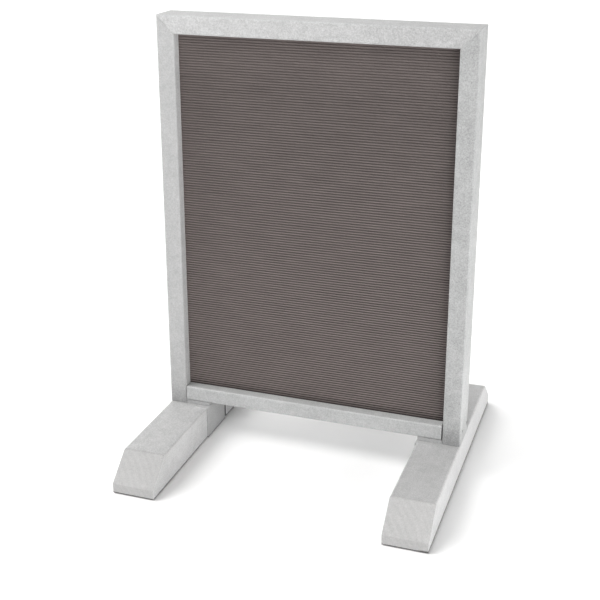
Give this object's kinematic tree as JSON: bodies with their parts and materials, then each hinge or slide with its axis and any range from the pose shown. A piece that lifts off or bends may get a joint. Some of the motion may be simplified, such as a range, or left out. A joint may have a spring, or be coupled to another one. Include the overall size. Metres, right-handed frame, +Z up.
{
  "type": "free-standing letter board sign",
  "caption": "Free-standing sign: an open-faced grooved letter board on each side, in a plastic-lumber frame with mitred top corners, standing on heavy feet with sloped ends.",
  "frame": {"origin": "on the floor, under the middle of the sign", "axes": "+Z up; the front letter board faces -Y; +X is the right-hand stile seen from the front"},
  "size_m": [0.773, 0.76, 1.098],
  "materials": {
    "lumber": "recycled plastic lumber, light grey with a fine pale and dark speckle, low sheen, eased long edges",
    "lumber_foot": "the same grey plastic lumber in a heavier section, saw marks on the sloped ends",
    "letter_board": "matte dark grey-brown grooved vinyl",
    "panel": "plain dark sheet, hidden",
    "key": "plain plastic key, hidden",
    "fastener": "stainless steel"
  },
  "bodies": {
    "root": {"stile_left": "lumber", "stile_right": "lumber", "top_rail": "lumber", "bottom_rail": "lumber", "foot_left": "lumber_foot", "foot_right": "lumber_foot", "foot_block_left": "lumber_foot", "foot_block_right": "lumber_foot", "rail_packer_left": "lumber", "rail_packer_right": "lumber", "letter_board_front": "letter_board", "letter_board_rear": "letter_board", "backer_panel": "panel", "corner_key_left": "key", "corner_key_right": "key", "rail_screw_left_front": "fastener", "foot_washer_left_front": "fastener", "foot_lag_left_front": "fastener", "rail_screw_left_rear": "fastener", "foot_washer_left_rear": "fastener", "foot_lag_left_rear": "fastener", "rail_screw_right_front": "fastener", "foot_washer_right_front": "fastener", "foot_lag_right_front": "fastener", "rail_screw_right_rear": "fastener", "foot_washer_right_rear": "fastener", "foot_lag_right_rear": "fastener"}
  },
  "joints": []
}
